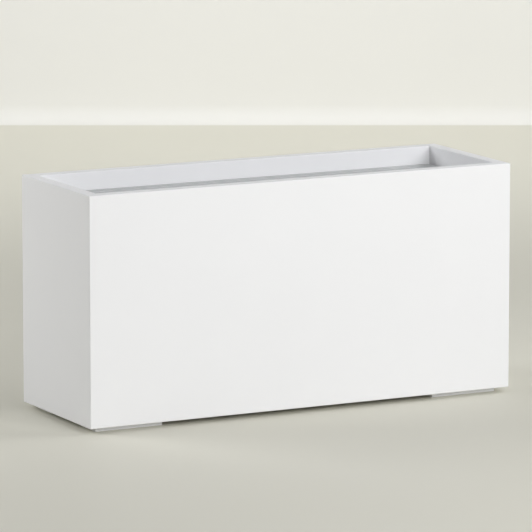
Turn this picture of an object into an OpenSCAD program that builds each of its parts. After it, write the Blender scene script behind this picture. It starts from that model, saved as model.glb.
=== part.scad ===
// Rectangular trough planter for the floor: a mitred box of thick white board on four low pad feet,
// with a moulded liner that hangs on rails below the rim and lifts straight out.
// Millimetres. +X runs along the length, -Y is the front, +Z is up, and the origin is on the floor
// under the middle of the case.

/* [Case] */
// Outside length of the case
case_l = 914.4; // [500:0.1:1500]
// Outside depth of the case, front to back
case_d = 304.8; // [240:0.1:600]
// Height from the floor to the rim
case_h = 457.2; // [300:0.1:900]
// Thickness of the wall boards
wall_t = 25.4; // [16:0.1:35]
// Radius of the eased edges of the boards
ease_r = 1.5; // [0.5:0.1:4]

/* [Feet] */
// Length of each foot pad, along the case
foot_l = 142; // [110:1:190]
// Depth of each foot pad, front to back
foot_d = 65; // [58:1:90]
// Height of each foot pad
foot_h = 10; // [6:0.5:40]
// Set-back of the foot pads from the ends of the case
foot_in_x = 20; // [5:0.5:24]
// Set-back of the foot pads from the front and back of the case
foot_in_y = 21; // [5:0.5:24]

/* [Frame inside] */
// Thickness of the cleats and rails
batten_t = 19; // [12:0.5:24]
// Height of the cleats and rails
batten_h = 45; // [42:1:70]
// Leg of the corner posts along each wall
post_leg = 38; // [30:1:42]
// Width of the square part of a corner post, before its sloping face
post_nose = 12; // [6:0.5:16]
// Thickness of the floor panel
floor_t = 19; // [12:0.5:30]
// Diameter of the drain holes in the floor panel
floor_drain_d = 40; // [30:1:60]

/* [Liner] */
// Depth of the liner's flange below the rim
liner_drop = 35.5; // [10:0.5:80]
// Wall thickness of the liner
liner_t = 3.5; // [2.5:0.1:5]
// Thickness of the liner's flange
flange_t = 4; // [3:0.5:8]
// How much narrower each side of the liner is at its base than at its flange
draft_in = 9; // [3:0.5:14]
// Radius of the liner's upright corners at the flange
corner_r = 30; // [26:1:45]
// Radius where the liner's walls turn into its base
base_r = 22; // [12:1:25]
// Radius of the stiffening flutes in the long walls
flute_r = 7; // [4:0.5:9]
// Most that one flute is away from the next
flute_pitch = 135; // [80:5:200]
// Height of the skids under the liner
skid_h = 5; // [4.5:0.5:12]
// Width of the finger slots in the liner's ends
slot_w = 80; // [60:1:83]
// Height of the finger slots
slot_h = 24; // [18:1:26]
// Distance of the drains from the ends of the liner's flange
drain_in = 170; // [120:5:240]

/* [Plugs] */
// Diameter of the liner's drain holes
drain_d = 25; // [18:0.5:28]
// Diameter of the plug's head
plug_head_d = 38; // [34:0.5:50]
// Diameter of the plug's knob
knob_d = 18; // [14:0.5:24]

/* [Fasteners] */
// Shank diameter of the countersunk screws
screw_d = 4.2; // [3:0.1:5]
// Head diameter of the countersunk screws
head_d = 8.4; // [7:0.1:10]
// Depth that the screws reach into the piece behind the one they hold
screw_bite = 15; // [8:0.5:15]
// Most that one screw is away from the next
screw_pitch = 180; // [90:5:300]

/* [Clearances] */
// Gap between the floor panel and the walls and posts
floor_gap = 1; // [0.5:0.1:3]
// Gap between the liner's body and the rails
liner_gap = 2.5; // [1:0.1:4]
// Gap between the edge of the liner's flange and the walls
flange_gap = 2; // [1:0.1:4]
// Gap between the liner's skids and the floor panel
rest_gap = 0.5; // [0.3:0.1:3]
// Radial gap between a plug and its hole
plug_gap = 0.3; // [0.1:0.05:0.8]
// Radial gap between a screw and its hole
screw_gap = 0.1; // [0.05:0.05:0.3]

/* [Hidden] */
$fn = 64;

board_white = "#f3f4f3";
batten_white = "#ebebe6";
liner_grey = "#c9cbca";
plug_grey = "#4a4c4e";
screw_steel = "#b9bbbd";

// Turn that brings a piece made for the front wall to each of the four walls
FRONT = 0;
RIGHT = 90;
BACK = 180;
LEFT = 270;

well_l = case_l - 2 * wall_t;
well_d = case_d - 2 * wall_t;
body_h = case_h - foot_h;

floor_z = foot_h + batten_h;
floor_top = floor_z + floor_t;

flange_top = case_h - liner_drop;
rail_top = flange_top - flange_t;
rail_z = rail_top - batten_h;

foot_r = 2;
foot_screw_in = 12;

// Turn between the legs of a corner post and its sloping face
post_slope = 45;

flange_l = well_l - 2 * flange_gap;
flange_d = well_d - 2 * flange_gap;
flange_r = 12;

// Half sizes of the liner's body at its flange, and the slope of its walls, which leave the flange
// and meet the round base at a tangent. Its round corners and base have liner_sides facets a turn.
liner_sides = 32;
liner_half_l = well_l / 2 - batten_t - liner_gap;
liner_half_d = well_d / 2 - batten_t - liner_gap;
liner_base_z = floor_top + rest_gap + skid_h;
base_centre_z = liner_base_z + base_r;
wall_run = rail_top - base_centre_z;
wall_lean = draft_in + base_r;
draft = atan2(wall_lean, wall_run) - asin(base_r / norm([wall_lean, wall_run]));

// Finger slots: liner wall left above them, and room for the fingers round them in the rail
slot_web = 6;
slot_room = 4;
slot_r = 6;
slot_reach = 12;

flute_foot = 12;
flute_head = 60;
flute_end_in = 90;

skid_w = 10;
skid_r = 4;
skid_in = 14;
skid_end_in = 60;

// Drains: a collar under the base, and a seat sunk in it for the head of the plug
drain_x = flange_l / 2 - drain_in;
collar_h = skid_h - 1;
collar_t = 3.5;
seat_sink = 2;
seat_gap = 0.6;
seat_z = liner_base_z + liner_t - seat_sink;
collar_z = liner_base_z - collar_h;

stem_short = 0.5;
stem_taper = 0.8;
plug_head_t = 3;
plug_ease = 1;
neck_d = 9;
knob_t = 6;
knob_rise = 7;

head_sink = 0.5;
screw_end_in = 35;
screw_drop = 14;
cut = 1;

// Places of points spread evenly over a span about zero, no more than a pitch apart
function spread(span, pitch) =
    let (steps = max(1, ceil(span / pitch)))
    [for (i = [0:steps]) span * (i / steps - 0.5)];

// Half depth of the liner's outside at a height on its walls
function liner_half_d_at(z) = liner_half_d - (rail_top - z) * tan(draft);

// ---------------------------------------------------------------- shapes that repeat

// Rectangle about the origin with true round corners
module round_rect(l, d, r) {
    square([l - 2 * r, d], center = true);
    square([l, d - 2 * r], center = true);
    for (x = [-1, 1], y = [-1, 1])
        translate([x * (l / 2 - r), y * (d / 2 - r)]) circle(r);
}

// Section through a wall board: its outside at x = 0, eased at the rim and at the outer lower edge
module board_section() {
    translate([ease_r, 0]) square([wall_t - ease_r, body_h - ease_r]);
    translate([0, ease_r]) square([wall_t, body_h - 2 * ease_r]);
    translate([ease_r, ease_r]) square([wall_t - 2 * ease_r, body_h - ease_r]);
    translate([ease_r, ease_r]) circle(ease_r);
    for (x = [ease_r, wall_t - ease_r])
        translate([x, body_h - ease_r]) circle(ease_r);
}

// Wall board with mitred ends: run is its length outside, out its distance from the middle
module wall_board(run, out) {
    translate([0, 0, foot_h])
        intersection() {
            translate([-run / 2, -out, 0])
                rotate([90, 0, 90]) linear_extrude(run) board_section();
            linear_extrude(body_h) round_rect(run, 2 * out, ease_r);
            linear_extrude(body_h)
                polygon([
                    [-run / 2, -out],
                    [run / 2, -out],
                    [run / 2 - wall_t, wall_t - out],
                    [wall_t - run / 2, wall_t - out]
                ]);
        }
}

// Countersunk screw that points along +Z from a face at z = 0
module screw(len) {
    head_h = (head_d - screw_d) / 2;
    translate([0, 0, head_sink]) cylinder(h = head_h, d1 = head_d, d2 = screw_d);
    translate([0, 0, head_sink + head_h]) cylinder(h = len - head_sink - head_h, d = screw_d);
}

// The hole for that screw
module screw_hole(len) {
    head_h = (head_d - screw_d) / 2;
    hole_d = screw_d + 2 * screw_gap;
    mouth_d = head_d + 2 * screw_gap;
    translate([0, 0, -cut]) cylinder(h = cut + head_sink, d = mouth_d);
    translate([0, 0, head_sink]) cylinder(h = head_h, d1 = mouth_d, d2 = hole_d);
    translate([0, 0, head_sink]) cylinder(h = len - head_sink + screw_gap, d = hole_d);
}

// Children at each screw of a batten, pointing into the wall that the batten stands against
module at_batten_screws(turn, out, len, z) {
    for (x = spread(len - 2 * screw_end_in, screw_pitch))
        rotate([0, 0, turn])
            translate([x, wall_t + batten_t - out, z + batten_h - screw_drop])
                rotate([90, 0, 0]) children();
}

// Batten against a wall, drilled for its screws: z is its lower edge
module batten(turn, out, len, z) {
    difference() {
        rotate([0, 0, turn])
            translate([-len / 2, wall_t - out, z]) cube([len, batten_t, batten_h]);
        at_batten_screws(turn, out, len, z) screw_hole(batten_t + screw_bite);
    }
}

// Children for the front left corner of the case, mirrored into the corner that side and end name
module at_corner(end, side) {
    mirror([end > 0 ? 1 : 0, 0, 0])
        mirror([0, side > 0 ? 1 : 0, 0])
            translate([-case_l / 2, -case_d / 2, 0]) children();
}

// Children at each screw of a foot, from the corner of the case: one into the post, two into the
// long cleat and one into the end cleat
module at_foot_screws() {
    in_post = wall_t + (post_leg + post_nose) / 3;
    in_cleat = wall_t + batten_t / 2;
    far_x = foot_in_x + foot_l - foot_screw_in;
    near_x = (wall_t + post_leg + far_x) / 2;
    far_y = foot_in_y + foot_d - foot_screw_in;
    for (p = [[in_post, in_post], [near_x, in_cleat], [far_x, in_cleat], [in_cleat, far_y]])
        translate(p) children();
}

// ---------------------------------------------------------------- case

LONG_OUT = case_d / 2;
END_OUT = case_l / 2;
LONG_CLEAT = well_l - 2 * post_leg;
END_CLEAT = well_d - 2 * post_leg;
LONG_RAIL = well_l;
END_RAIL = well_d - 2 * batten_t;

module long_panel(turn) {
    color(board_white)
        difference() {
            rotate([0, 0, turn]) wall_board(case_l, LONG_OUT);
            at_batten_screws(turn, LONG_OUT, LONG_CLEAT, foot_h) screw_hole(batten_t + screw_bite);
            at_batten_screws(turn, LONG_OUT, LONG_RAIL, rail_z) screw_hole(batten_t + screw_bite);
        }
}

module end_panel(turn) {
    color(board_white)
        difference() {
            rotate([0, 0, turn]) wall_board(case_d, END_OUT);
            at_batten_screws(turn, END_OUT, END_CLEAT, foot_h) screw_hole(batten_t + screw_bite);
            at_batten_screws(turn, END_OUT, END_RAIL, rail_z) screw_hole(batten_t + screw_bite);
        }
}

module front_panel() { long_panel(FRONT); }
module back_panel() { long_panel(BACK); }
module left_end_panel() { end_panel(LEFT); }
module right_end_panel() { end_panel(RIGHT); }

// Section of a corner post, from the inner corner of the walls, with a gap all round where asked
module post_section(gap = 0) {
    leg = post_leg + gap;
    nose = post_nose + gap * tan(post_slope / 2);
    translate([wall_t, wall_t])
        polygon([[0, 0], [leg, 0], [leg, nose], [nose, leg], [0, leg]]);
}

module post(end, side) {
    color(batten_white)
        at_corner(end, side)
            difference() {
                translate([0, 0, foot_h]) linear_extrude(rail_z - foot_h) post_section();
                at_foot_screws() screw_hole(foot_h + screw_bite);
            }
}

module front_left_post() { post(-1, -1); }
module front_right_post() { post(1, -1); }
module back_left_post() { post(-1, 1); }
module back_right_post() { post(1, 1); }

module cleat(turn, out, len) {
    color(batten_white)
        difference() {
            batten(turn, out, len, foot_h);
            for (end = [-1, 1], side = [-1, 1])
                at_corner(end, side) at_foot_screws() screw_hole(foot_h + screw_bite);
        }
}

module front_cleat() { cleat(FRONT, LONG_OUT, LONG_CLEAT); }
module back_cleat() { cleat(BACK, LONG_OUT, LONG_CLEAT); }
module left_cleat() { cleat(LEFT, END_OUT, END_CLEAT); }
module right_cleat() { cleat(RIGHT, END_OUT, END_CLEAT); }

// The floor panel lies on the cleats and is notched round the posts
module floor_panel() {
    color(batten_white)
        translate([0, 0, floor_z])
            difference() {
                translate([floor_gap - well_l / 2, floor_gap - well_d / 2, 0])
                    cube([well_l - 2 * floor_gap, well_d - 2 * floor_gap, floor_t]);
                for (end = [-1, 1], side = [-1, 1])
                    at_corner(end, side)
                        translate([0, 0, -cut]) linear_extrude(floor_t + 2 * cut) post_section(floor_gap);
                for (x = [-drain_x, drain_x])
                    translate([x, 0, -cut]) cylinder(h = floor_t + 2 * cut, d = floor_drain_d);
            }
}

// An end rail is cut away behind the liner's finger slot
module end_rail(turn) {
    notch_w = slot_w + 2 * slot_room;
    notch_h = slot_web + slot_h + slot_room;
    color(batten_white)
        difference() {
            batten(turn, END_OUT, END_RAIL, rail_z);
            rotate([0, 0, turn])
                translate([-notch_w / 2, wall_t - END_OUT - cut, rail_top - notch_h])
                    cube([notch_w, batten_t + 2 * cut, notch_h + cut]);
        }
}

module front_rail() { color(batten_white) batten(FRONT, LONG_OUT, LONG_RAIL, rail_z); }
module back_rail() { color(batten_white) batten(BACK, LONG_OUT, LONG_RAIL, rail_z); }
module left_rail() { end_rail(LEFT); }
module right_rail() { end_rail(RIGHT); }

module foot(end, side) {
    color(board_white)
        at_corner(end, side)
            difference() {
                translate([foot_in_x + foot_l / 2, foot_in_y + foot_d / 2, 0])
                    linear_extrude(foot_h) round_rect(foot_l, foot_d, foot_r);
                at_foot_screws() screw_hole(foot_h + screw_bite);
            }
}

module front_left_foot() { foot(-1, -1); }
module front_right_foot() { foot(1, -1); }
module back_left_foot() { foot(-1, 1); }
module back_right_foot() { foot(1, 1); }

// ---------------------------------------------------------------- fasteners

module foot_screws() {
    color(screw_steel)
        for (end = [-1, 1], side = [-1, 1])
            at_corner(end, side) at_foot_screws() screw(foot_h + screw_bite);
}

module cleat_screws() {
    color(screw_steel) {
        for (turn = [FRONT, BACK])
            at_batten_screws(turn, LONG_OUT, LONG_CLEAT, foot_h) screw(batten_t + screw_bite);
        for (turn = [LEFT, RIGHT])
            at_batten_screws(turn, END_OUT, END_CLEAT, foot_h) screw(batten_t + screw_bite);
    }
}

module rail_screws() {
    color(screw_steel) {
        for (turn = [FRONT, BACK])
            at_batten_screws(turn, LONG_OUT, LONG_RAIL, rail_z) screw(batten_t + screw_bite);
        for (turn = [LEFT, RIGHT])
            at_batten_screws(turn, END_OUT, END_RAIL, rail_z) screw(batten_t + screw_bite);
    }
}

// ---------------------------------------------------------------- liner

// The liner's drafted form with its round base, solid: its outside, or its inside at an inset
module liner_form(inset) {
    top_h = inset > 0 ? flange_t + cut : flange_t;
    hull()
        for (x = [-1, 1], y = [-1, 1]) {
            translate([x * (liner_half_l - corner_r), y * (liner_half_d - corner_r), rail_top])
                cylinder(h = top_h, r = corner_r - inset, $fn = liner_sides);
            translate([
                x * (liner_half_l - wall_lean),
                y * (liner_half_d - wall_lean),
                base_centre_z
            ]) sphere(r = base_r - inset, $fn = liner_sides);
        }
}

// Round-ended rods that lean with the long walls, centred on their outside
module flutes(r) {
    low = base_centre_z + flute_foot;
    len = (rail_top - flute_head - low) / cos(draft);
    for (x = spread(2 * (liner_half_l - flute_end_in), flute_pitch), turn = [FRONT, BACK])
        rotate([0, 0, turn])
            translate([x, -liner_half_d_at(low), low])
                rotate([draft, 0, 0]) {
                    cylinder(h = len, r = r);
                    sphere(r);
                    translate([0, 0, len]) sphere(r);
                }
}

// Slot under the flange at each end, to lift the liner by
module finger_slots() {
    for (x = [-liner_half_l, liner_half_l])
        translate([x, 0, rail_top - slot_web - slot_h / 2])
            rotate([90, 0, 90])
                linear_extrude(2 * slot_reach, center = true) round_rect(slot_w, slot_h, slot_r);
}

module liner_shell() {
    difference() {
        union() {
            liner_form(0);
            translate([0, 0, rail_top]) linear_extrude(flange_t) round_rect(flange_l, flange_d, flange_r);
        }
        liner_form(liner_t);
    }
}

module liner_skids() {
    len = 2 * (liner_half_l - wall_lean - skid_end_in);
    for (side = [-1, 1])
        translate([0, side * (liner_half_d - wall_lean - skid_in), liner_base_z - skid_h])
            linear_extrude(skid_h + liner_t / 2) round_rect(len, skid_w, skid_r);
}

module liner() {
    seat_d = plug_head_d + 2 * seat_gap;
    color(liner_grey)
        difference() {
            union() {
                liner_shell();
                intersection() {
                    liner_form(0);
                    flutes(flute_r + liner_t);
                }
                liner_skids();
                for (x = [-drain_x, drain_x])
                    translate([x, 0, collar_z])
                        cylinder(h = collar_h + liner_t / 2, d = seat_d + 2 * collar_t);
            }
            flutes(flute_r);
            finger_slots();
            for (x = [-drain_x, drain_x]) {
                translate([x, 0, seat_z]) cylinder(h = seat_sink + cut, d = seat_d);
                translate([x, 0, collar_z - cut]) cylinder(h = seat_z - collar_z + 2 * cut, d = drain_d);
            }
        }
}

// Push-in plug: a tapered stem in the drain, a head on the seat and a knob to pull it by
module drain_plug(x) {
    stem_r = drain_d / 2 - plug_gap;
    stem_l = seat_z - collar_z - stem_short;
    head_r = plug_head_d / 2;
    knob_z = plug_head_t + knob_rise;
    knob_in = (knob_d - knob_t) / 2;
    color(plug_grey)
        translate([x, 0, seat_z])
            rotate_extrude() {
                polygon([
                    [0, -stem_l],
                    [stem_r - stem_taper, -stem_l],
                    [stem_r, 0],
                    [head_r, 0],
                    [head_r, plug_head_t - plug_ease],
                    [head_r - plug_ease, plug_head_t],
                    [neck_d / 2, plug_head_t],
                    [neck_d / 2, knob_z],
                    [knob_in, knob_z],
                    [knob_in, knob_z + knob_t],
                    [0, knob_z + knob_t]
                ]);
                translate([knob_in, knob_z + knob_t / 2])
                    intersection() {
                        circle(d = knob_t);
                        translate([0, -knob_t]) square(2 * knob_t);
                    }
            }
}

module left_drain_plug() { drain_plug(-drain_x); }
module right_drain_plug() { drain_plug(drain_x); }

front_panel();
back_panel();
left_end_panel();
right_end_panel();
floor_panel();
front_left_post();
front_right_post();
back_left_post();
back_right_post();
front_cleat();
back_cleat();
left_cleat();
right_cleat();
front_rail();
back_rail();
left_rail();
right_rail();
front_left_foot();
front_right_foot();
back_left_foot();
back_right_foot();
foot_screws();
cleat_screws();
rail_screws();
liner();
left_drain_plug();
right_drain_plug();
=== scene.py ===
"""A white trough planter on low pad feet: its finishes, its liner, plugs and screws, and its stage.

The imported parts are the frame. The boards, posts, battens and feet are shown as they are, with a finish.
The liner, the plugs and the screws are made here, each in the place of its part.
"""

import math

import bmesh
import bpy
from bpy.props import FloatProperty, FloatVectorProperty, PointerProperty
from bpy.types import Operator, Panel, PropertyGroup
from mathutils import Matrix, Vector


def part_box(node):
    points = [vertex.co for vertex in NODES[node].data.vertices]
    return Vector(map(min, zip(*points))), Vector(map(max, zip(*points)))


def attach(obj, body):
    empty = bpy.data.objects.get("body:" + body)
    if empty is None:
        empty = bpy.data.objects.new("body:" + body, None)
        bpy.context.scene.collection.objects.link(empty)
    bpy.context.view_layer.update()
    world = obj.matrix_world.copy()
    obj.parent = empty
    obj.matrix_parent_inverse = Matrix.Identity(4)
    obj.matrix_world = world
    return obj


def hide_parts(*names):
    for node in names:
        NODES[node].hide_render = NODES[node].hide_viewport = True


bl_info = {
    "name": "Trough planter",
    "version": (1, 0, 0),
    "blender": (4, 5, 0),
    "location": "View3D > Sidebar > Planter",
    "description": "Finishes and details for a trough planter with a lift-out liner",
    "category": "Object",
}

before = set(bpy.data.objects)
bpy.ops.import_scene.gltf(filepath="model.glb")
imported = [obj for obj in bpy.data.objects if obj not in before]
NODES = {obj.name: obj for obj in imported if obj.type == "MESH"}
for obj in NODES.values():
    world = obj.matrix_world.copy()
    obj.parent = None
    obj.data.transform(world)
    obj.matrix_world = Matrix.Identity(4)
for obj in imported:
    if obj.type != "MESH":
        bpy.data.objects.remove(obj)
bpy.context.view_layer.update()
MM = 0.001

PAINTED = (
    "front_panel", "back_panel", "left_end_panel", "right_end_panel",
    "front_left_foot", "front_right_foot", "back_left_foot", "back_right_foot",
)
# The bare boards, by the axis that they run along.
BARE_BOARDS = {
    "x": ("front_cleat", "back_cleat", "front_rail", "back_rail", "floor_panel"),
    "y": ("left_cleat", "right_cleat", "left_rail", "right_rail"),
    "z": ("front_left_post", "front_right_post", "back_left_post", "back_right_post"),
}
PLUGS = {"left_drain_plug": "left_plug", "right_drain_plug": "right_plug"}
SCREWS = ("foot_screws", "cleat_screws", "rail_screws")

# Edges that turn by more degrees than this stay sharp in a smooth piece.
SHARP_TURN = 32
# Points nearer than this are one point, in a mesh made here and in a packed one.
MERGE = 1e-6
PACKED_MERGE = 0.01 * MM

# The radius of the corners of the liner's flange.
FLANGE_CORNER_R = 12 * MM
# The liner's flutes: how far they stay from its ends, its base and the tops of the rails, how long they
# take to fade, how far each reaches to both sides, and how many points and rows follow them.
FLUTE_FROM_END = 90 * MM
FLUTE_FROM_BASE = 3 * MM
FLUTE_FROM_RAIL = 51 * MM
FLUTE_FADE = 14 * MM
FLUTE_REACH_OUTSIDE = 9 * MM
FLUTE_REACH_INSIDE = 12.5 * MM
FLUTE_POINTS = 20
FADE_ROWS = 10
# The angle where the round of the liner's base starts, four degrees past straight down, and its steps.
BASE_START = -86
BASE_STEPS = 9
# The drains: the bore, the foot of the collar above the skids, and the gap round a plug in its seat.
DRAIN_R = 12.5 * MM
COLLAR_RISE = 1 * MM
SEAT_GAP = 0.6 * MM
# A plug's stem, from its foot to the seat of its head, and its radius.
PLUG_STEM = 5 * MM
PLUG_STEM_R = 12.2 * MM

# The camera: its place, its turn about the upright axis, which the backdrop stands square to, its tilt up
# from straight down, and its lens and sensor in millimetres.
VIEW_PLACE = (-4.31014, -8.31135, 1.86236)
VIEW_TURN = -27.387
VIEW_TILT = 80.319
VIEW_LENS = 328.9
VIEW_SENSOR = 36
# Lamps: name, power, width, height, azimuth, height above the floor, distance, and for the last the
# distance and height of the point it is turned to and its spread.
LAMPS = (
    ("upper_front_softbox", 76, 2.6, 2.6, 10, 2.4, 4.0),
    ("lower_front_softbox", 54, 3.0, 1.6, 5, 1.3, 4.0),
    ("right_softbox", 64, 2.0, 2.0, 75, 2.6, 3.2),
    ("left_rear_softbox", 65, 2.0, 2.0, -125, 1.8, 3.0),
    ("backdrop_wash", 24, 5.0, 1.0, 180 + VIEW_TURN, 3.0, 2.3, 3.9, 0.2, 95),
)
LAMP_COLOUR = (0.965, 0.97, 1.0)
FILL_COLOUR = (0.96, 0.98, 1, 1)

# What makes a property a colour or a length.
COLOUR = {"subtype": "COLOR", "size": 3, "min": 0, "max": 1}
LENGTH = {"subtype": "DISTANCE", "unit": "LENGTH"}


# ---------------- small helpers


def linear(hex_colour):
    """An sRGB colour written in hex, as linear red, green and blue."""
    shares = (int(hex_colour[i : i + 2], 16) / 255 for i in (0, 2, 4))
    return tuple(c / 12.92 if c <= 0.04045 else ((c + 0.055) / 1.055) ** 2.4 for c in shares)


def tinted(colour, share=1.0):
    """A linear colour made darker or lighter by a share, and opaque, as a node's socket takes it."""
    return (*[min(1.0, c * share) for c in colour], 1)


def give(node, inputs):
    """Sets a node's inputs, in order or by name, among the sockets that are in use.

    Each is a value, or a node or socket to link from, or a list of those. A node gives its first
    output in use.
    """
    in_use = [socket for socket in node.inputs if socket.enabled]
    if isinstance(inputs, dict):
        named = {socket.name: socket for socket in in_use}
        pairs = [(named[name], value) for name, value in inputs.items()]
    else:
        pairs = zip(in_use, inputs)
    for socket, value in pairs:
        for source in value if isinstance(value, list) else [value]:
            if isinstance(source, bpy.types.Node):
                source = next(output for output in source.outputs if output.enabled)
            if isinstance(source, bpy.types.NodeSocket):
                node.id_data.links.new(source, socket)
            else:
                socket.default_value = source


def add(tree, kind, inputs=(), **settings):
    """A new node with its settings and its inputs."""
    node = tree.nodes.new(kind)
    for name, value in settings.items():
        setattr(node, name, value)
    give(node, inputs)
    return node


def new_material(name):
    """A material, its tree, the place on the object that its patterns follow, and its shader."""
    material = bpy.data.materials.new(name)
    material.use_nodes = True
    tree = material.node_tree
    tree.nodes.clear()
    shader = add(tree, "ShaderNodeBsdfPrincipled")
    add(tree, "ShaderNodeOutputMaterial", {"Surface": shader})
    return material, tree, add(tree, "ShaderNodeTexCoord").outputs["Object"], shader


def finish_nodes(names, material):
    """Gives parts of the frame their finish."""
    for name in names:
        slots = NODES[name].data.materials
        slots.clear()
        slots.append(material)


def new_object(name, data):
    """An object in the scene."""
    made = bpy.data.objects.new(name, data)
    bpy.context.scene.collection.objects.link(made)
    return made


def new_piece(name, mesh, material):
    """A piece with its place in its mesh, shaded smooth up to its edges."""
    mesh.materials.clear()
    mesh.materials.append(material)
    mesh.shade_smooth()
    mesh.set_sharp_from_angle(angle=math.radians(SHARP_TURN))
    return new_object(name, mesh)


def stand_for(piece, node, body):
    """Puts a piece in the place of a part, on its body."""
    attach(piece, body)
    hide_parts(node)


def baked(piece):
    """A plain mesh of a piece with its modifiers, which are taken off it."""
    graph = bpy.context.evaluated_depsgraph_get()
    mesh = bpy.data.meshes.new_from_object(piece.evaluated_get(graph))
    piece.modifiers.clear()
    return mesh


def finished_piece(name, mesh, material):
    """A piece all of one material, with its flat faces kept flat by weighted normals."""
    mesh.polygons.foreach_set("material_index", [0] * len(mesh.polygons))
    piece = new_piece(name, mesh, material)
    weigh = piece.modifiers.new("weigh", "WEIGHTED_NORMAL")
    weigh.keep_sharp = True
    piece.data = baked(piece)
    piece.data.name = name
    return piece


def mesh_of(bm, name):
    """A mesh from a bmesh, with doubles merged and its faces turned outwards."""
    bmesh.ops.remove_doubles(bm, verts=bm.verts, dist=MERGE)
    bmesh.ops.recalc_face_normals(bm, faces=bm.faces)
    mesh = bpy.data.meshes.new(name)
    bm.to_mesh(mesh)
    bm.free()
    return mesh


def skin(bm, loops):
    """Quads between closed loops of equally many points, with a face on the first and on the last."""
    rings = [[bm.verts.new(point) for point in loop] for loop in loops]
    count = len(rings[0])
    for low, high in zip(rings, rings[1:]):
        for i in range(count):
            j = (i + 1) % count
            bm.faces.new((low[i], low[j], high[j], high[i]))
    bm.faces.new(list(reversed(rings[0])))
    bm.faces.new(rings[-1])


def lathe(bm, profile, centre, steps):
    """A turned solid about an upright axis, with a flat disc at each end of its profile."""
    turn = [2 * math.pi * i / steps for i in range(steps)]
    x, y = centre
    skin(bm, [
        [Vector((x + radius * math.cos(a), y + radius * math.sin(a), height)) for a in turn]
        for radius, height in profile
    ])


def arc(x, y, radius, start, end, steps, hollow=False):
    """Points on an arc about a centre between two angles in degrees, mirrored in x where it is hollow."""
    side = -1 if hollow else 1
    turns = (math.radians(start + (end - start) * i / steps) for i in range(steps + 1))
    return [(x + side * radius * math.cos(a), y + radius * math.sin(a)) for a in turns]


def eased_mouth(ease, reach, lean=math.radians(70), steps=5):
    """How much wider than its bore a hole is, at depths in from its face.

    Its edge is eased, and the slope that the ease starts with is carried on outside the face.
    """
    mouth = [(ease * (1 - math.cos(lean)) + reach * math.sin(lean), -reach * math.cos(lean))]
    for i in range(steps + 1):
        turn = lean * (1 - i / steps)
        mouth.append((ease * (1 - math.cos(turn)), ease * (math.sin(lean) - math.sin(turn))))
    return mouth


def round_loop(half_l, half_d, radius, sides=(-1, 1), arc_steps=8):
    """Points round a rectangle with round corners, about zero.

    The half sizes go to the centres of its corners. Sides are places along its two long sides, as
    shares of the half length from -1 to 1.
    """
    points = []
    for turn, places in ((0, sides), (1, (-1, 1)), (2, sides), (3, (-1, 1))):
        along, out = (half_l, half_d) if turn % 2 == 0 else (half_d, half_l)
        c, s = ((1, 0), (0, 1), (-1, 0), (0, -1))[turn]
        side = [(u * along, -(out + radius)) for u in places]
        bend = arc(along, -out, radius, -90, 0, arc_steps)[1:-1]
        points += [(c * x - s * y, s * x + c * y) for x, y in side + bend]
    return points


def flat_loop(points, height):
    """Plan points at a height."""
    return [Vector((x, y, height)) for x, y in points]


def spread(span, pitch):
    """Places spread evenly over a span about zero, no more than a pitch apart."""
    steps = max(1, math.ceil(span / pitch))
    return [span * (i / steps - 0.5) for i in range(steps + 1)]


# ---------------- sizes and colours


class PaintSettings(PropertyGroup):
    """The painted and the bare boards."""

    paint: FloatVectorProperty(
        name="Paint",
        description="Colour of the satin paint on the walls and feet",
        default=linear("F3F3F3"),
        **COLOUR,
    )
    bare: FloatVectorProperty(
        name="Bare board",
        description="Colour of the unpainted cellular board inside",
        default=linear("ECEBE4"),
        **COLOUR,
    )
    peel: FloatProperty(
        name="Orange peel",
        description="Distance between the low bumps that spraying leaves in the paint",
        default=3 * MM,
        min=1 * MM,
        **LENGTH,
    )


class LinerSettings(PropertyGroup):
    """The moulded liner."""

    plastic: FloatVectorProperty(
        name="Plastic", description="Colour of the liner", default=linear("C8CAC9"), **COLOUR
    )
    wall: FloatProperty(
        name="Wall", description="Thickness of the liner's walls", default=3.5 * MM, **LENGTH
    )
    gap: FloatProperty(
        name="Gap", description="Gap between the liner's body and the rails", default=2.5 * MM, **LENGTH
    )
    draft_in: FloatProperty(
        name="Draft",
        description="How much narrower each side is at the base than at the flange",
        default=9 * MM,
        **LENGTH,
    )
    corner: FloatProperty(
        name="Corner radius",
        description="Radius of the upright corners at the flange",
        default=30 * MM,
        **LENGTH,
    )
    base: FloatProperty(
        name="Base radius",
        description="Radius where the walls turn into the base",
        default=22 * MM,
        **LENGTH,
    )
    skid: FloatProperty(
        name="Skid height", description="Height of the skids under the base", default=5 * MM, **LENGTH
    )
    flute: FloatProperty(
        name="Flute depth",
        description="Depth of the stiffening flutes in the long walls",
        default=7 * MM,
        **LENGTH,
    )
    flute_pitch: FloatProperty(
        name="Flute spacing",
        description="Most that one flute is away from the next",
        default=135 * MM,
        **LENGTH,
    )


class PlugSettings(PropertyGroup):
    """The drain plugs."""

    knob: FloatProperty(
        name="Knob", description="Diameter of the plug's knob", default=18 * MM, **LENGTH
    )
    neck: FloatProperty(
        name="Neck", description="Diameter of the neck under the knob", default=9 * MM, **LENGTH
    )


class ScrewSettings(PropertyGroup):
    """The countersunk screws."""

    pitch: FloatProperty(
        name="Thread pitch",
        description="Distance from one turn of the thread to the next",
        default=1.8 * MM,
        min=1 * MM,
        **LENGTH,
    )
    zinc: FloatVectorProperty(
        name="Zinc", description="Colour of the zinc plating", default=linear("C9CCD0"), **COLOUR
    )


class StageSettings(PropertyGroup):
    """The floor, the backdrop and the light."""

    floor: FloatVectorProperty(
        name="Floor", description="Colour of the plain floor", default=linear("DBD9CB"), **COLOUR
    )
    backdrop: FloatVectorProperty(
        name="Backdrop",
        description="Colour of the plain backdrop",
        default=linear("EBEAE3"),
        **COLOUR,
    )
    fill: FloatProperty(
        name="Fill light",
        description="Strength of the even light from all round",
        default=0.05,
        min=0,
    )


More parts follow.
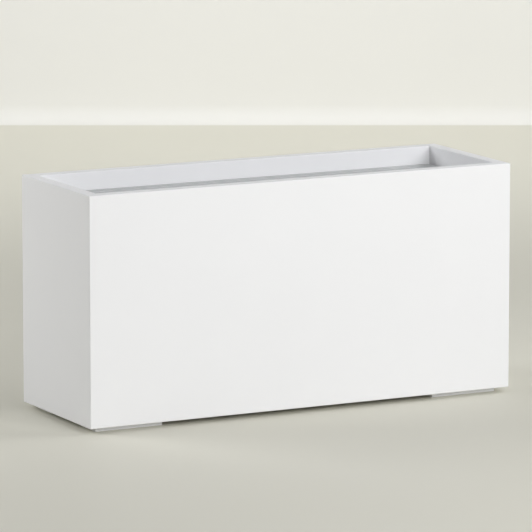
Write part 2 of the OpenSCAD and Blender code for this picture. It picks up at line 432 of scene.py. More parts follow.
# ---------------- finishes


def satin_painted_board(settings):
    """Cellular vinyl board sprayed with satin white paint: even, nearly flat, with a soft broad gloss.

    Spraying leaves a low orange peel, about 3 mm from bump to bump, and lets the tone and the gloss
    drift a little over clouds some 180 mm wide.
    """
    material, tree, place, shader = new_material("satin_painted_board")
    cloud_w = 180 * MM
    cloud = add(tree, "ShaderNodeTexNoise", {"Vector": place, "Scale": 1 / cloud_w, "Detail": 2.0})
    dark, light = tinted(settings.paint, share=0.985), tinted(settings.paint, share=1.005)
    tone = add(tree, "ShaderNodeMix", (cloud, dark, light), data_type="RGBA")
    gloss = add(tree, "ShaderNodeMapRange", {"Value": cloud, "To Min": 0.4, "To Max": 0.48})
    bumps = {"Vector": place, "Scale": 1 / settings.peel, "Detail": 1.0, "Roughness": 0.4}
    peel = add(tree, "ShaderNodeTexNoise", bumps)
    bump = add(tree, "ShaderNodeBump", {"Height": peel, "Strength": 0.06, "Distance": 0.25 * MM})
    give(shader, {"Base Color": tone, "Roughness": gloss, "Normal": bump, "IOR": 1.47})
    return material


def planed_board(settings, way):
    """Bare cellular vinyl board: warm white and matt, with the faint ripple of the planer.

    The ripple is about 1.6 mm from crest to crest and lies across the length of the board, along which
    it changes 50 times faster than across. The cut cells show as fine darker specks, drawn at 2 mm so
    that they show at all.
    """
    material, tree, place, shader = new_material(f"planed_board_along_{way}")
    stretch = tuple(1 if axis == way else 0.02 for axis in "xyz")
    ripple_w, cell_w = 1.6 * MM, 2 * MM
    along = add(tree, "ShaderNodeMapping", {"Vector": place, "Scale": stretch})
    ripple = add(tree, "ShaderNodeTexNoise", {"Vector": along, "Scale": 1 / ripple_w, "Detail": 1.0})
    cells = add(tree, "ShaderNodeTexVoronoi", {"Vector": place, "Scale": 1 / cell_w})
    speck = add(tree, "ShaderNodeMapRange", {"Value": cells, "From Min": 0.05, "From Max": 0.22})
    dark, light = tinted(settings.bare, share=0.9), tinted(settings.bare)
    tone = add(tree, "ShaderNodeMix", (speck, dark, light), data_type="RGBA")
    bump = add(tree, "ShaderNodeBump", {"Height": ripple, "Strength": 0.25, "Distance": 0.15 * MM})
    give(shader, {"Base Color": tone, "Roughness": 0.62, "Normal": bump, "IOR": 1.5})
    return material


def moulded_polythene(settings):
    """Vacuum-formed light grey polythene: a soft waxy sheen over a fine leathery grain.

    The grain is about 1.2 mm from pit to pit. Where the sheet was drawn deepest the colour thins a
    little, which shows as slow clouds some 90 mm wide.
    """
    material, tree, place, shader = new_material("moulded_polythene")
    cloud_w, grain_w = 90 * MM, 1.2 * MM
    cloud = add(tree, "ShaderNodeTexNoise", {"Vector": place, "Scale": 1 / cloud_w, "Detail": 3.0})
    dark, light = tinted(settings.plastic, share=0.96), tinted(settings.plastic, share=1.03)
    tone = add(tree, "ShaderNodeMix", (cloud, dark, light), data_type="RGBA")
    pits = {"Vector": place, "Scale": 1 / grain_w, "Smoothness": 0.6}
    grain = add(tree, "ShaderNodeTexVoronoi", pits, feature="SMOOTH_F1")
    bump = add(tree, "ShaderNodeBump", {"Height": grain, "Strength": 0.35, "Distance": 0.12 * MM})
    gloss = add(tree, "ShaderNodeMapRange", {"Value": cloud, "To Min": 0.42, "To Max": 0.56})
    give(shader, {"Base Color": tone, "Roughness": gloss, "Normal": bump, "IOR": 1.51})
    return material


def moulded_rubber():
    """Moulded nitrile rubber: dark, matt and faintly bloomed, with a fine sandy skin.

    The bloom lies in patches some 12 mm wide, and the skin's grains are about 0.6 mm apart.
    """
    material, tree, place, shader = new_material("moulded_rubber")
    bloom_w, grain_w = 12 * MM, 0.6 * MM
    bloom = add(tree, "ShaderNodeTexNoise", {"Vector": place, "Scale": 1 / bloom_w, "Detail": 4.0})
    dark, light = tinted(linear("303234")), tinted(linear("4A4C4D"))
    tone = add(tree, "ShaderNodeMix", (bloom, dark, light), data_type="RGBA")
    grain = add(tree, "ShaderNodeTexNoise", {"Vector": place, "Scale": 1 / grain_w, "Detail": 2.0})
    bump = add(tree, "ShaderNodeBump", {"Height": grain, "Strength": 0.3, "Distance": 0.1 * MM})
    give(shader, {"Base Color": tone, "Roughness": 0.72, "Normal": bump, "IOR": 1.52})
    return material


def zinc_plated_steel(settings):
    """Bright zinc on cold-formed steel: a pale metal with a slight yellow and blue bloom.

    The bloom drifts over some 4 mm, and the drawn wire leaves it a little rough.
    """
    material, tree, place, shader = new_material("zinc_plated_steel")
    bloom_w = 4 * MM
    bloom = add(tree, "ShaderNodeTexNoise", {"Vector": place, "Scale": 1 / bloom_w, "Detail": 2.0})
    red, green, blue = settings.zinc
    bluish = (red * 0.94, green * 0.98, blue)
    yellowish = (red, green * 0.97, blue * 0.86)
    tints = (bloom, tinted(bluish), tinted(yellowish))
    tone = add(tree, "ShaderNodeMix", tints, data_type="RGBA")
    gloss = add(tree, "ShaderNodeMapRange", {"Value": bloom, "To Min": 0.25, "To Max": 0.42})
    give(shader, {"Base Color": tone, "Metallic": 1.0, "Roughness": gloss})
    return material


# ---------------- node trees


def geometry_tree(name, sizes):
    """A Geometry Nodes tree with named inputs, and the sockets that give them inside it."""
    tree = bpy.data.node_groups.new(name, "GeometryNodeTree")
    new_socket = tree.interface.new_socket
    new_socket("Geometry", in_out="INPUT", socket_type="NodeSocketGeometry")
    for label, default in sizes.items():
        kind = "NodeSocketInt" if isinstance(default, int) else "NodeSocketFloat"
        new_socket(label, in_out="INPUT", socket_type=kind).default_value = default
    new_socket("Material", in_out="INPUT", socket_type="NodeSocketMaterial")
    new_socket("Geometry", in_out="OUTPUT", socket_type="NodeSocketGeometry")
    return tree, add(tree, "NodeGroupInput").outputs


def close_tree(tree, geometry, material):
    """Ends a tree in Realize Instances and Set Material."""
    real = add(tree, "GeometryNodeRealizeInstances", {"Geometry": geometry})
    done = add(tree, "GeometryNodeSetMaterial", {"Geometry": real, "Material": material})
    add(tree, "NodeGroupOutput", {"Geometry": done})


def use_tree(piece, tree, values):
    """Puts a tree on a piece, with its inputs set by their identifiers."""
    modifier = piece.modifiers.new(tree.name, "NODES")
    modifier.node_group = tree
    for item in tree.interface.items_tree:
        if item.item_type == "SOCKET" and item.in_out == "INPUT" and item.name in values:
            modifier[item.identifier] = values[item.name]


def flute_tree():
    """Pushes flutes into upright walls: rounded grooves at an even spacing, faded out at both ends."""
    sizes = {
        "Depth": 7 * MM,
        "Spacing": 128 * MM,
        "First": -320 * MM,
        "Low": 105 * MM,
        "High": 360 * MM,
        "Fade": FLUTE_FADE,
    }
    tree, given = geometry_tree("flutes", sizes)
    place = add(tree, "GeometryNodeInputPosition")
    x, y, z = add(tree, "ShaderNodeSeparateXYZ", (place,)).outputs
    # How far a point is from the middle of the nearest flute, and the share of the groove's depth there,
    # which is negative because it goes inwards.
    start = add(tree, "ShaderNodeMath", (x, given["First"]), operation="SUBTRACT")
    count = add(tree, "ShaderNodeMath", (start, given["Spacing"]), operation="DIVIDE")
    nearest = add(tree, "ShaderNodeMath", (count,), operation="ROUND")
    past = add(tree, "ShaderNodeMath", (count, nearest), operation="SUBTRACT")
    off = add(tree, "ShaderNodeMath", (past,), operation="ABSOLUTE")
    away = add(tree, "ShaderNodeMath", (off, given["Spacing"]), operation="MULTIPLY")
    reach = add(tree, "GeometryNodeInputNamedAttribute", {"Name": "reach"}, data_type="FLOAT")
    share = add(tree, "ShaderNodeMath", (away, reach), operation="DIVIDE")
    within = add(tree, "ShaderNodeMath", (share, 1.0), operation="MINIMUM")
    angle = add(tree, "ShaderNodeMath", (within, math.pi), operation="MULTIPLY")
    wave = add(tree, "ShaderNodeMath", (angle,), operation="COSINE")
    across = add(tree, "ShaderNodeMath", (wave, -0.5, -0.5), operation="MULTIPLY_ADD")
    # How much of it is left at a point's height, near its lower and near its upper end.
    fades = []
    for end, operation in (("Low", "ADD"), ("High", "SUBTRACT")):
        full = add(tree, "ShaderNodeMath", (given[end], given["Fade"]), operation=operation)
        fades.append(
            add(tree, "ShaderNodeMapRange", (z, given[end], full), interpolation_type="SMOOTHSTEP")
        )
    along = add(tree, "ShaderNodeMath", fades, operation="MULTIPLY")
    groove = add(tree, "ShaderNodeMath", (across, along), operation="MULTIPLY")
    push = add(tree, "ShaderNodeMath", (groove, given["Depth"]), operation="MULTIPLY")
    side = add(tree, "ShaderNodeMath", (y,), operation="SIGN")
    inward = add(tree, "ShaderNodeMath", (push, side), operation="MULTIPLY")
    offset = add(tree, "ShaderNodeCombineXYZ", {"Y": inward})
    moved = add(tree, "GeometryNodeSetPosition", {"Geometry": given["Geometry"], "Offset": offset})
    close_tree(tree, moved, given["Material"])
    return tree


def screw_tree():
    """Stands a countersunk screw on each point, head first, along the point's aim."""
    sizes = {
        "Length": 34 * MM,
        "Head radius": 4.2 * MM,
        "Shank radius": 2.1 * MM,
        "Thread depth": 0.55 * MM,
        "Thread pitch": 1.8 * MM,
        "Tip length": 5 * MM,
        "Seed": 7,
    }
    tree, given = geometry_tree("screws", sizes)
    # The cross recess: its mouth and foot as shares of the head's radius, its depth as a share of the
    # head's height, how slim its arms are, and how far it starts outside the head.
    mouth, foot, deep, slim = 0.8, 0.25, 0.95, 0.3
    outside = 0.05 * MM
    # How far the shank and the tip run into what is before them, and the radius of the point.
    lap = 0.2 * MM
    point_r = 0.2 * MM
    # The crest of the thread, as a share of its depth, and the facets of the head and of the rest.
    crest_share = 0.9
    head_sides, shank_sides = 32, 20

    head_r, shank_r = given["Head radius"], given["Shank radius"]
    core_r = add(tree, "ShaderNodeMath", (shank_r, given["Thread depth"]), operation="SUBTRACT")
    head_h = add(tree, "ShaderNodeMath", (head_r, shank_r), operation="SUBTRACT")
    ends = add(tree, "ShaderNodeMath", (head_h, given["Tip length"]), operation="ADD")
    body_l = add(tree, "ShaderNodeMath", (given["Length"], ends), operation="SUBTRACT")
    mouth_r = add(tree, "ShaderNodeMath", (head_r, mouth), operation="MULTIPLY")
    foot_r = add(tree, "ShaderNodeMath", (head_r, foot), operation="MULTIPLY")
    recess_h = add(tree, "ShaderNodeMath", (head_h, deep), operation="MULTIPLY")
    shank_l = add(tree, "ShaderNodeMath", (body_l, lap), operation="ADD")
    shank_z = add(tree, "ShaderNodeMath", (head_h, lap), operation="SUBTRACT")
    tip_l = add(tree, "ShaderNodeMath", (given["Tip length"], lap), operation="ADD")
    tip_z = add(tree, "ShaderNodeMath", (given["Length"], tip_l), operation="SUBTRACT")
    solids = []
    for low_r, high_r, depth, height, sides in (
        (head_r, shank_r, head_h, 0.0, head_sides),
        (mouth_r, foot_r, recess_h, -outside, 4),
        (core_r, core_r, shank_l, shank_z, shank_sides),
        (core_r, point_r, tip_l, tip_z, shank_sides),
    ):
        cone = add(
            tree,
            "GeometryNodeMeshCone",
            {"Vertices": sides, "Radius Top": high_r, "Radius Bottom": low_r, "Depth": depth},
        )
        lift = add(tree, "ShaderNodeCombineXYZ", {"Z": height})
        solids.append(add(tree, "GeometryNodeTransform", (cone, lift)))
    head, taper, shank, tip = solids
    eighth, quarter = (0, 0, math.radians(45)), (0, 0, math.radians(90))
    square = add(tree, "GeometryNodeTransform", {"Geometry": taper, "Rotation": eighth})
    arm = add(tree, "GeometryNodeTransform", {"Geometry": square, "Scale": (slim, 1, 1)})
    cross_arm = add(tree, "GeometryNodeTransform", {"Geometry": arm, "Rotation": quarter})
    cut_head = add(tree, "GeometryNodeMeshBoolean", (head, [arm, cross_arm]), operation="DIFFERENCE")
    turns = add(tree, "ShaderNodeMath", (body_l, given["Thread pitch"]), operation="DIVIDE")
    helix = add(tree, "GeometryNodeCurveSpiral", (shank_sides, turns, core_r, core_r, body_l))
    crest_r = add(tree, "ShaderNodeMath", (given["Thread depth"], crest_share), operation="MULTIPLY")
    crest = add(tree, "GeometryNodeCurvePrimitiveCircle", {"Resolution": 3, "Radius": crest_r})
    winding = {"Curve": helix, "Profile Curve": crest, "Fill Caps": True}
    thread = add(tree, "GeometryNodeCurveToMesh", winding)
    below_head = add(tree, "ShaderNodeCombineXYZ", {"Z": head_h})
    raised = add(tree, "GeometryNodeTransform", (thread, below_head))
    screw = add(tree, "GeometryNodeJoinGeometry", ([cut_head, shank, tip, raised],))
    aim = add(tree, "GeometryNodeInputNamedAttribute", {"Name": "aim"}, data_type="FLOAT_VECTOR")
    pointed = add(tree, "FunctionNodeAlignRotationToVector", {"Vector": aim}, axis="Z")
    spin = add(
        tree,
        "FunctionNodeRandomValue",
        {"Min": 0.0, "Max": math.tau, "Seed": given["Seed"]},
        data_type="FLOAT",
    )
    turned = add(tree, "FunctionNodeAxisAngleToRotation", {"Angle": spin})
    aimed = add(tree, "FunctionNodeRotateRotation", (pointed, turned), rotation_space="LOCAL")
    placed = add(
        tree,
        "GeometryNodeInstanceOnPoints",
        {"Points": given["Geometry"], "Instance": screw, "Rotation": aimed},
    )
    close_tree(tree, placed, given["Material"])
    return tree


# ---------------- the liner


class LinerShape:
    """The sizes that the liner's skin follows, from its place on the rails and from its settings."""

    def __init__(self, settings):
        low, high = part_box("liner")
        self.half_l = -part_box("left_rail")[1].x - settings.gap
        self.half_d = -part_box("front_rail")[1].y - settings.gap
        self.flange = (high.x, high.y)
        self.top = high.z
        self.rail_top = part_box("front_rail")[1].z
        self.low = low.z
        self.base_z = low.z + settings.skid
        self.base_r = settings.base
        self.corner_r = settings.corner
        self.wall = settings.wall
        self.lean = settings.draft_in + settings.base
        self.base_centre = self.base_z + settings.base
        self.flute_low = self.base_centre + FLUTE_FROM_BASE
        self.flute_high = self.rail_top - FLUTE_FROM_RAIL
        self.flutes = spread(2 * (self.half_l - FLUTE_FROM_END), settings.flute_pitch)
        # Places along the long sides, dense at each flute, as shares of the half length.
        dense = [
            (centre + FLUTE_REACH_INSIDE * (2 * i / FLUTE_POINTS - 1)) / (self.half_l - self.corner_r)
            for centre in self.flutes
            for i in range(FLUTE_POINTS + 1)
        ]
        self.sides = [-1.0, *dense, 1.0]

    def draft(self, inset=0.0):
        """The angle by which the walls lean out, for the outside or at an inset."""
        run = self.rail_top - self.base_centre
        lean = self.lean - inset
        return math.atan2(lean, run) - math.asin((self.base_r - inset) / math.hypot(lean, run))

    def heights(self, start):
        """Heights of the rows of a wall, dense where the flutes fade."""
        rows = range(FADE_ROWS + 1)
        low = [self.flute_low + FLUTE_FADE * i / FADE_ROWS for i in rows]
        high = [self.flute_high - FLUTE_FADE * (1 - i / FADE_ROWS) for i in rows]
        return [start, *low, *high]

    def wall_row(self, inset, height):
        """One loop of a wall at a height: its corners grow from the base's radius to the flange's."""
        draft = self.draft(inset)
        start = self.base_centre - (self.base_r - inset) * math.sin(draft)
        share = (height - start) / (self.rail_top - start)
        radius = (self.base_r - inset) * math.cos(draft)
        radius += share * (self.corner_r - inset - radius)
        in_l = self.half_l - self.lean + share * (self.lean - self.corner_r)
        in_d = self.half_d - self.lean + share * (self.lean - self.corner_r)
        return flat_loop(round_loop(in_l, in_d, radius, self.sides), height)

    def body_loop(self, grow, height):
        """A loop at the top of the body, wider than its outside by a length."""
        half_l, half_d = self.half_l - self.corner_r, self.half_d - self.corner_r
        return flat_loop(round_loop(half_l, half_d, self.corner_r + grow, self.sides), height)

    def flange_loop(self, inset, height):
        """A loop at the flange's edge, or in from it."""
        half_l, half_d = self.flange[0] - FLANGE_CORNER_R, self.flange[1] - FLANGE_CORNER_R
        return flat_loop(round_loop(half_l, half_d, FLANGE_CORNER_R - inset, self.sides), height)

    def base_rows(self, inset):
        """Loops from the flat base up to where the wall starts."""
        radius = self.base_r - inset
        end = 90 - math.degrees(self.draft(inset))
        half_l, half_d = self.half_l - self.lean, self.half_d - self.lean
        return [
            flat_loop(round_loop(half_l, half_d, plan_r, self.sides), height)
            for plan_r, height in arc(0, self.base_centre, radius, BASE_START, end - 90, BASE_STEPS)
        ]

    def skin_mesh(self):
        """The closed skin: base, outside, flange, inside. Its points keep how far a flute reaches."""
        wall, rail_top, top = self.wall, self.rail_top, self.top
        # The radii under the flange, of its lower and its upper edge, and of the mouth.
        under, low_edge, top_edge, mouth = 1.5 * MM, 0.6 * MM, 1.4 * MM, 2 * MM
        neck = arc(under, rail_top - under, under, 0, 90, steps=4, hollow=True)
        low_round = arc(low_edge, rail_top + low_edge, low_edge, -90, 0, steps=3, hollow=True)
        top_round = arc(top_edge, top - top_edge, top_edge, 0, 90, steps=4, hollow=True)
        mouth_round = arc(mouth - wall, top - mouth, mouth, 90, 0, steps=5, hollow=True)
        outside = self.base_rows(0.0)
        outside += [self.wall_row(0.0, z) for z in self.heights(outside[-1][0].z)[1:]]
        outside += [self.body_loop(grow, z) for grow, z in neck]
        outside += [self.flange_loop(inset, z) for inset, z in low_round + top_round]
        inside = [self.body_loop(grow, z) for grow, z in mouth_round]
        inside.append(self.body_loop(-wall, rail_top))
        base = self.base_rows(wall)
        heights = self.heights(base[-1][0].z)[1:]
        inside += [self.wall_row(wall, z) for z in reversed(heights)]
        inside += reversed(base)
        bm = bmesh.new()
        reach = bm.verts.layers.float.new("reach")
        skin(bm, outside + inside)
        bm.verts.ensure_lookup_table()
        split = len(outside) * len(outside[0])
        for i, vert in enumerate(bm.verts):
            vert[reach] = FLUTE_REACH_OUTSIDE if i < split else FLUTE_REACH_INSIDE
        return mesh_of(bm, "liner_skin")


def liner_additions(shape, seat_r, drains):
    """The skids and the drain collars under the base, with eased edges and a small fillet above."""
    collar_wall = 3.5 * MM
    collar_r = seat_r + collar_wall
    collar_low = shape.low + COLLAR_RISE
    skid_r = 4 * MM
    skid_inset = 14 * MM
    skid_from_end = 60 * MM
    skid_half_d = 1 * MM
    ease = 0.8 * MM
    fillet = eased_mouth(1.5 * MM, reach=1 * MM)
    bm = bmesh.new()
    for x in drains:
        profile = [(collar_r + w, shape.base_z - d) for w, d in fillet]
        profile += arc(collar_r - ease, collar_low + ease, ease, 0, -90, steps=4)
        lathe(bm, profile, (x, 0), steps=72)
    skid_y = shape.half_d - shape.lean - skid_inset
    half_l = shape.half_l - shape.lean - skid_from_end - skid_r
    profile = [(w, shape.base_z - d) for w, d in fillet]
    profile += arc(-ease, shape.low + ease, ease, 0, -90, steps=4)
    for side in (-1, 1):
        aside = Vector((0, side * skid_y, 0))
        skin(bm, [
            [point + aside for point in flat_loop(round_loop(half_l, skid_half_d, skid_r + grow), z)]
            for grow, z in profile
        ])
    return mesh_of(bm, "liner_additions")


def liner_cuts(shape, seat_r, seat_z, drains):
    """The finger slots, and the drains with the seats for their plugs, all with eased edges."""
    ease = 0.8 * MM
    seat_foot = 0.5 * MM
    slot_half_l, slot_half_h, slot_r = 40 * MM, 12 * MM, 6 * MM
    slot_z = shape.rail_top - 18 * MM
    face = shape.base_z + shape.wall
    mouth = eased_mouth(ease, reach=2 * MM)
    bm = bmesh.new()
    for x in drains:
        profile = [(DRAIN_R + w, shape.low + COLLAR_RISE + d) for w, d in mouth]
        profile += arc(DRAIN_R + ease, seat_z - ease, ease, 0, 90, steps=5, hollow=True)
        profile += arc(seat_r - seat_foot, seat_z + seat_foot, seat_foot, -90, 0, steps=4)
        profile += [(seat_r + w, face - d) for w, d in reversed(mouth)]
        lathe(bm, profile, (x, 0), steps=96)
    draft = shape.draft()
    face_x = shape.half_l - (shape.rail_top - slot_z) * math.tan(draft)
    profile = mouth + [(w, shape.wall - d) for w, d in reversed(mouth)]
    for side in (-1, 1):
        in_way = Vector((-side * math.cos(draft), 0, math.sin(draft)))
        up = Vector((side * math.sin(draft), 0, math.cos(draft)))
        start = Vector((side * face_x, 0, slot_z))
        skin(bm, [
            [
                start + in_way * depth + Vector((0, a, 0)) + up * b
                for a, b in round_loop(slot_half_l - slot_r, slot_half_h - slot_r, slot_r + grow)
            ]
            for grow, depth in profile
        ])
    return mesh_of(bm, "liner_cuts")


def cut_and_join(piece, additions, cuts, material):
    """Joins a mesh to a piece and cuts another out of it."""
    helpers = []
    for mesh, operation in ((additions, "UNION"), (cuts, "DIFFERENCE")):
        mesh.materials.append(material)
        helpers.append(new_object(mesh.name, mesh))
        modifier = piece.modifiers.new(operation.lower(), "BOOLEAN")
        modifier.operation = operation
        modifier.object = helpers[-1]
        modifier.solver = "EXACT"
    mesh = baked(piece)
    for helper in helpers:
        bpy.data.objects.remove(helper)
    return mesh


# ---------------- plugs and screws


def plug_mesh(node, settings):
    """A turned rubber plug as large as its part: stem, head, neck and knob, with moulded edges."""
    low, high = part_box(node)
    centre = ((low.x + high.x) / 2, (low.y + high.y) / 2)
    stem_taper = 0.8 * MM
    ease = 0.8 * MM
    seat_z = low.z + PLUG_STEM
    head_r = (high.x - low.x) / 2
    head_foot = 0.4 * MM
    head_rim = 1.1 * MM
    head_top = seat_z + 3 * MM
    ring_r, ring_w, ring_h = head_r - 4 * MM, 1.2 * MM, 0.4 * MM
    neck_r = settings.neck / 2
    neck_foot = 1.6 * MM
    neck_top = 1 * MM
    knob_r = settings.knob / 2
    knob_t = 6 * MM
    knob_low = high.z - knob_t
    round_r = knob_t / 2
    dish_r, dish_h, dish_steps = 5 * MM, 0.5 * MM, 5
    profile = arc(PLUG_STEM_R - stem_taper - ease, low.z + ease, ease, -90, 0, steps=4)
    profile.append((PLUG_STEM_R, seat_z - ease))
    profile += arc(PLUG_STEM_R + ease, seat_z - ease, ease, 30, 90, steps=3, hollow=True)
    profile += arc(head_r - head_foot, seat_z + head_foot, head_foot, -90, 0, steps=3)
    profile += arc(head_r - head_rim, head_top - head_rim, head_rim, 0, 90, steps=5)
    profile += [
        (ring_r, head_top),
        (ring_r - ring_h, head_top - ring_h),
        (ring_r - ring_w, head_top - ring_h),
        (ring_r - ring_w - ring_h, head_top),
    ]
    profile += arc(neck_r + neck_foot, head_top + neck_foot, neck_foot, -90, 0, steps=5, hollow=True)
    profile += arc(neck_r + neck_top, knob_low - neck_top, neck_top, 0, 90, steps=4, hollow=True)
    profile += arc(knob_r - round_r, knob_low + round_r, round_r, -90, 90, steps=14)
    for i in range(1, dish_steps):
        sunk = dish_h * math.sin(math.pi / 2 * i / dish_steps)
        profile.append((dish_r * (1 - i / dish_steps), high.z - sunk))
    bm = bmesh.new()
    lathe(bm, profile, centre, steps=64)
    return mesh_of(bm, node)


def islands(mesh):
    """The points of each separate solid of a mesh whose triangles may be loose."""
    bm = bmesh.new()
    bm.from_mesh(mesh)
    bmesh.ops.remove_doubles(bm, verts=bm.verts, dist=PACKED_MERGE)
    left = set(bm.verts)
    found = []
    while left:
        queue = [left.pop()]
        group = []
        while queue:
            vert = queue.pop()
            group.append(vert.co.copy())
            for edge in vert.link_edges:
                other = edge.other_vert(vert)
                if other in left:
                    left.remove(other)
                    queue.append(other)
        found.append(group)
    bm.free()
    return found


def screw_places(node):
    """Where each screw of a part starts, which way it points, and how long it is.

    They are in the order of their places to a tenth of a millimetre, so that each keeps its turn.
    """
    places = []
    for points in islands(NODES[node].data):
        low = Vector([min(p[i] for p in points) for i in range(3)])
        high = Vector([max(p[i] for p in points) for i in range(3)])
        size = high - low
        middle = (low + high) / 2
        axis = max(range(3), key=lambda i: size[i])
        across = [i for i in range(3) if i != axis]
        widest = max(points, key=lambda p: sum((p[i] - middle[i]) ** 2 for i in across))
        way = 1 if widest[axis] < middle[axis] else -1
        start = middle.copy()
        start[axis] = low[axis] if way > 0 else high[axis]
        aim = Vector((0, 0, 0))
        aim[axis] = way
        places.append((start, aim, size[axis]))
    return sorted(places, key=lambda place: tuple(round(c, 4) for c in place[0]))


# ---------------- the stage


def painted_floor(settings):
    """Smooth plain paint: an even, low sheen with a faint uneven gloss, in clouds some 600 mm wide."""
    material, tree, place, shader = new_material("painted_floor")
    cloud_w = 600 * MM
    cloud = add(tree, "ShaderNodeTexNoise", {"Vector": place, "Scale": 1 / cloud_w, "Detail": 3.0})
    gloss = add(tree, "ShaderNodeMapRange", {"Value": cloud, "To Min": 0.45, "To Max": 0.6})
    dark, light = tinted(settings.floor, share=0.985), tinted(settings.floor)
    tone = add(tree, "ShaderNodeMix", (cloud, dark, light), data_type="RGBA")
    give(shader, {"Base Color": tone, "Roughness": gloss, "IOR": 1.45})
    return material


def matt_backdrop(settings):
    """Matt emulsion on a smooth sheet: no gloss, and a tone that drifts slowly, over some 900 mm."""
    material, tree, place, shader = new_material("matt_backdrop")
    cloud_w = 900 * MM
    cloud = add(tree, "ShaderNodeTexNoise", {"Vector": place, "Scale": 1 / cloud_w, "Detail": 2.0})
    dark, light = tinted(settings.backdrop, share=0.985), tinted(settings.backdrop)
    tone = add(tree, "ShaderNodeMix", (cloud, dark, light), data_type="RGBA")
    give(shader, {"Base Color": tone, "Roughness": 0.9})
    return material


def lamp(name, power, width, height, azimuth, rise, distance, aim=0.0, aim_height=0.25, spread=180):
    """An area light at an azimuth, a height and a distance, turned to a point on the same azimuth."""
    light = bpy.data.lights.new(name, "AREA")
    light.energy = power
    light.shape = "RECTANGLE"
    light.size = width
    light.size_y = height
    light.spread = math.radians(spread)
    light.color = LAMP_COLOUR
    turn = math.radians(azimuth)
    out = Vector((math.sin(turn), -math.cos(turn), 0))
    up = Vector((0, 0, 1))
    place = out * distance + up * rise
    facing = out * aim + up * aim_height - place
    lamp_object = new_object(name, light)
    lamp_object.location = place
    lamp_object.rotation_euler = facing.to_track_quat("-Z", "Y").to_euler()
    return lamp_object


def stage_sheet(name, rows, material):
    """A flat or swept sheet of the stage, from rows of points."""
    bm = bmesh.new()
    rows = [[bm.verts.new(point) for point in row] for row in rows]
    for low, high in zip(rows, rows[1:]):
        for i in range(len(low) - 1):
            bm.faces.new((low[i], low[i + 1], high[i + 1], high[i]))
    mesh = bpy.data.meshes.new(name)
    bm.to_mesh(mesh)
    bm.free()
    mesh.materials.append(material)
    mesh.shade_smooth()
    return new_object(name, mesh)


# ---------------- operators


class PLANTER_OT_paint_boards(Operator):
    """Gives the walls and the feet their satin paint"""

    bl_idname = "planter.paint_boards"
    bl_label = "Paint walls and feet"

    def execute(self, context):
        finish_nodes(PAINTED, satin_painted_board(context.scene.planter_paint))
        return {"FINISHED"}


class PLANTER_OT_finish_frame(Operator):
    """Gives the posts, battens and floor panel inside the case their planed, unpainted board"""

    bl_idname = "planter.finish_frame"
    bl_label = "Finish inner frame"

    def execute(self, context):
        for way, names in BARE_BOARDS.items():
            finish_nodes(names, planed_board(context.scene.planter_paint, way))
        return {"FINISHED"}


class PLANTER_OT_make_liner(Operator):
    """Makes the moulded liner: its skin, flutes, skids, collars, drains and finger slots"""

    bl_idname = "planter.make_liner"
    bl_label = "Make liner"

    def execute(self, context):
        settings = context.scene.planter_liner
        plastic = moulded_polythene(settings)
        shape = LinerShape(settings)
        mesh = shape.skin_mesh()
        mesh.materials.append(plastic)
        blank = new_object("liner_skin", mesh)
        values = {
            "Depth": settings.flute,
            "Spacing": shape.flutes[1] - shape.flutes[0],
            "First": shape.flutes[0],
            "Low": shape.flute_low,
            "High": shape.flute_high,
            "Material": plastic,
        }
        use_tree(blank, flute_tree(), values)
        plug_low, plug_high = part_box("left_drain_plug")
        seat_r = (plug_high.x - plug_low.x) / 2 + SEAT_GAP
        seat_z = plug_low.z + PLUG_STEM
        drains = [sum(corner.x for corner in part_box(node)) / 2 for node in PLUGS]
        additions = liner_additions(shape, seat_r, drains)
        cuts = liner_cuts(shape, seat_r, seat_z, drains)
        cut = cut_and_join(blank, additions, cuts, plastic)
        bpy.data.objects.remove(blank)
        if len(cut.polygons) < len(mesh.polygons):
            raise RuntimeError("the liner's cuts left no skin")
        piece = finished_piece("moulded_liner", cut, plastic)
        stand_for(piece, "liner", "liner")
        return {"FINISHED"}


class PLANTER_OT_make_plugs(Operator):
    """Makes the two rubber drain plugs"""

    bl_idname = "planter.make_plugs"
    bl_label = "Make plugs"

    def execute(self, context):
        rubber = moulded_rubber()
        for node, body in PLUGS.items():
            mesh = plug_mesh(node, context.scene.planter_plugs)
            piece = finished_piece(f"rubber_{node}", mesh, rubber)
            stand_for(piece, node, body)
        return {"FINISHED"}


class PLANTER_OT_make_screws(Operator):
    """Makes every countersunk screw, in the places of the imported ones"""

    bl_idname = "planter.make_screws"
    bl_label = "Make screws"

    def execute(self, context):
        settings = context.scene.planter_screws
        zinc = zinc_plated_steel(settings)
        tree = screw_tree()
        for seed, node in enumerate(SCREWS):
            places = screw_places(node)
            if not places:
                raise RuntimeError(f"no screws found in {node}")
            mesh = bpy.data.meshes.new(node)
            mesh.from_pydata([start for start, _, _ in places], [], [])
            aims = mesh.attributes.new("aim", "FLOAT_VECTOR", "POINT")
            aims.data.foreach_set("vector", [c for _, aim, _ in places for c in aim])
            points = new_object(node, mesh)
            sizes = {"Length": places[0][2], "Thread pitch": settings.pitch}
            use_tree(points, tree, {**sizes, "Seed": seed, "Material": zinc})
            piece = new_piece(f"zinc_{node}", baked(points), zinc)
            bpy.data.objects.remove(points)
            stand_for(piece, node, "case")
        return {"FINISHED"}


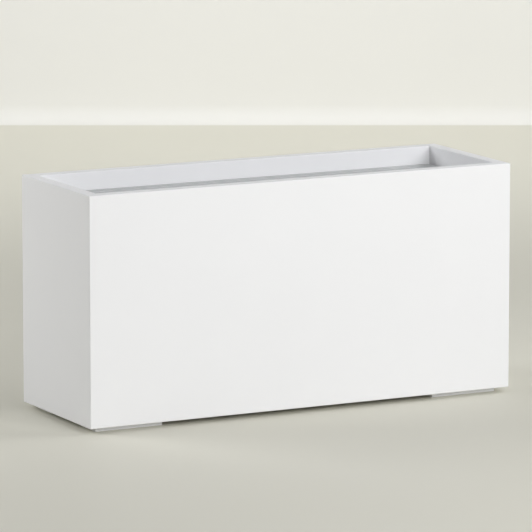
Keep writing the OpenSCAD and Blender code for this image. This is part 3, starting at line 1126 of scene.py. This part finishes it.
class PLANTER_OT_set_stage(Operator):
    """Sets the plain floor and backdrop, the lights and the camera"""

    bl_idname = "planter.set_stage"
    bl_label = "Set stage"

    def execute(self, context):
        scene = context.scene
        settings = scene.planter_stage
        # The floor's half width and near edge, the backdrop's place and height, and the cove between.
        half_width, near, far, height, cove = 6.0, -7.0, 3.9, 4.0, 0.05
        turn = Matrix.Rotation(math.radians(VIEW_TURN), 3, "Z")

        def row(y, z):
            return [turn @ Vector((x, y, z)) for x in (-half_width, half_width)]

        bend = [row(y, z) for y, z in arc(far - cove, cove, cove, -90, 0, steps=8)]
        floor = stage_sheet("floor", [row(near, 0), row(far - cove, 0)], painted_floor(settings))
        backdrop = stage_sheet("backdrop", bend + [row(far, height)], matt_backdrop(settings))
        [lamp(*numbers) for numbers in LAMPS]
        world = bpy.data.worlds.new("studio")
        world.use_nodes = True
        tree = world.node_tree
        tree.nodes.clear()
        fill = add(tree, "ShaderNodeBackground", {"Color": FILL_COLOUR, "Strength": settings.fill})
        add(tree, "ShaderNodeOutputWorld", {"Surface": fill})
        scene.world = world
        camera = bpy.data.cameras.new("camera")
        camera.lens = VIEW_LENS
        camera.sensor_width = VIEW_SENSOR
        view = new_object("camera", camera)
        view.location = VIEW_PLACE
        view.rotation_euler = (math.radians(VIEW_TILT), 0, math.radians(VIEW_TURN))
        scene.camera = view
        scene.view_settings.view_transform = "Standard"
        return {"FINISHED"}


class PLANTER_PT_pieces(Panel):
    """Lists the planter's pieces and their sizes and colours"""

    bl_label = "Planter"
    bl_space_type = "VIEW_3D"
    bl_region_type = "UI"
    bl_category = "Planter"

    def draw(self, context):
        layout = self.layout
        for group in GROUPS:
            settings = getattr(context.scene, group)
            for name in settings.__annotations__:
                layout.prop(settings, name)
        for operator in OPERATORS:
            layout.operator(operator.bl_idname)


GROUPS = {
    "planter_paint": PaintSettings,
    "planter_liner": LinerSettings,
    "planter_plugs": PlugSettings,
    "planter_screws": ScrewSettings,
    "planter_stage": StageSettings,
}
OPERATORS = (
    PLANTER_OT_paint_boards,
    PLANTER_OT_finish_frame,
    PLANTER_OT_make_liner,
    PLANTER_OT_make_plugs,
    PLANTER_OT_make_screws,
    PLANTER_OT_set_stage,
)


def register():
    """Registers the settings, operators and panel."""
    for name, group in GROUPS.items():
        bpy.utils.register_class(group)
        setattr(bpy.types.Scene, name, PointerProperty(type=group))
    for kind in (*OPERATORS, PLANTER_PT_pieces):
        bpy.utils.register_class(kind)


def unregister():
    """Takes back what register did."""
    for kind in reversed((*OPERATORS, PLANTER_PT_pieces)):
        bpy.utils.unregister_class(kind)
    for name, group in reversed(GROUPS.items()):
        delattr(bpy.types.Scene, name)
        bpy.utils.unregister_class(group)


def main():
    """Makes the planter piece by piece."""
    register()
    bpy.ops.planter.paint_boards()
    bpy.ops.planter.finish_frame()
    bpy.ops.planter.make_liner()
    bpy.ops.planter.make_plugs()
    bpy.ops.planter.make_screws()
    bpy.ops.planter.set_stage()


if __name__ == "__main__":
    main()
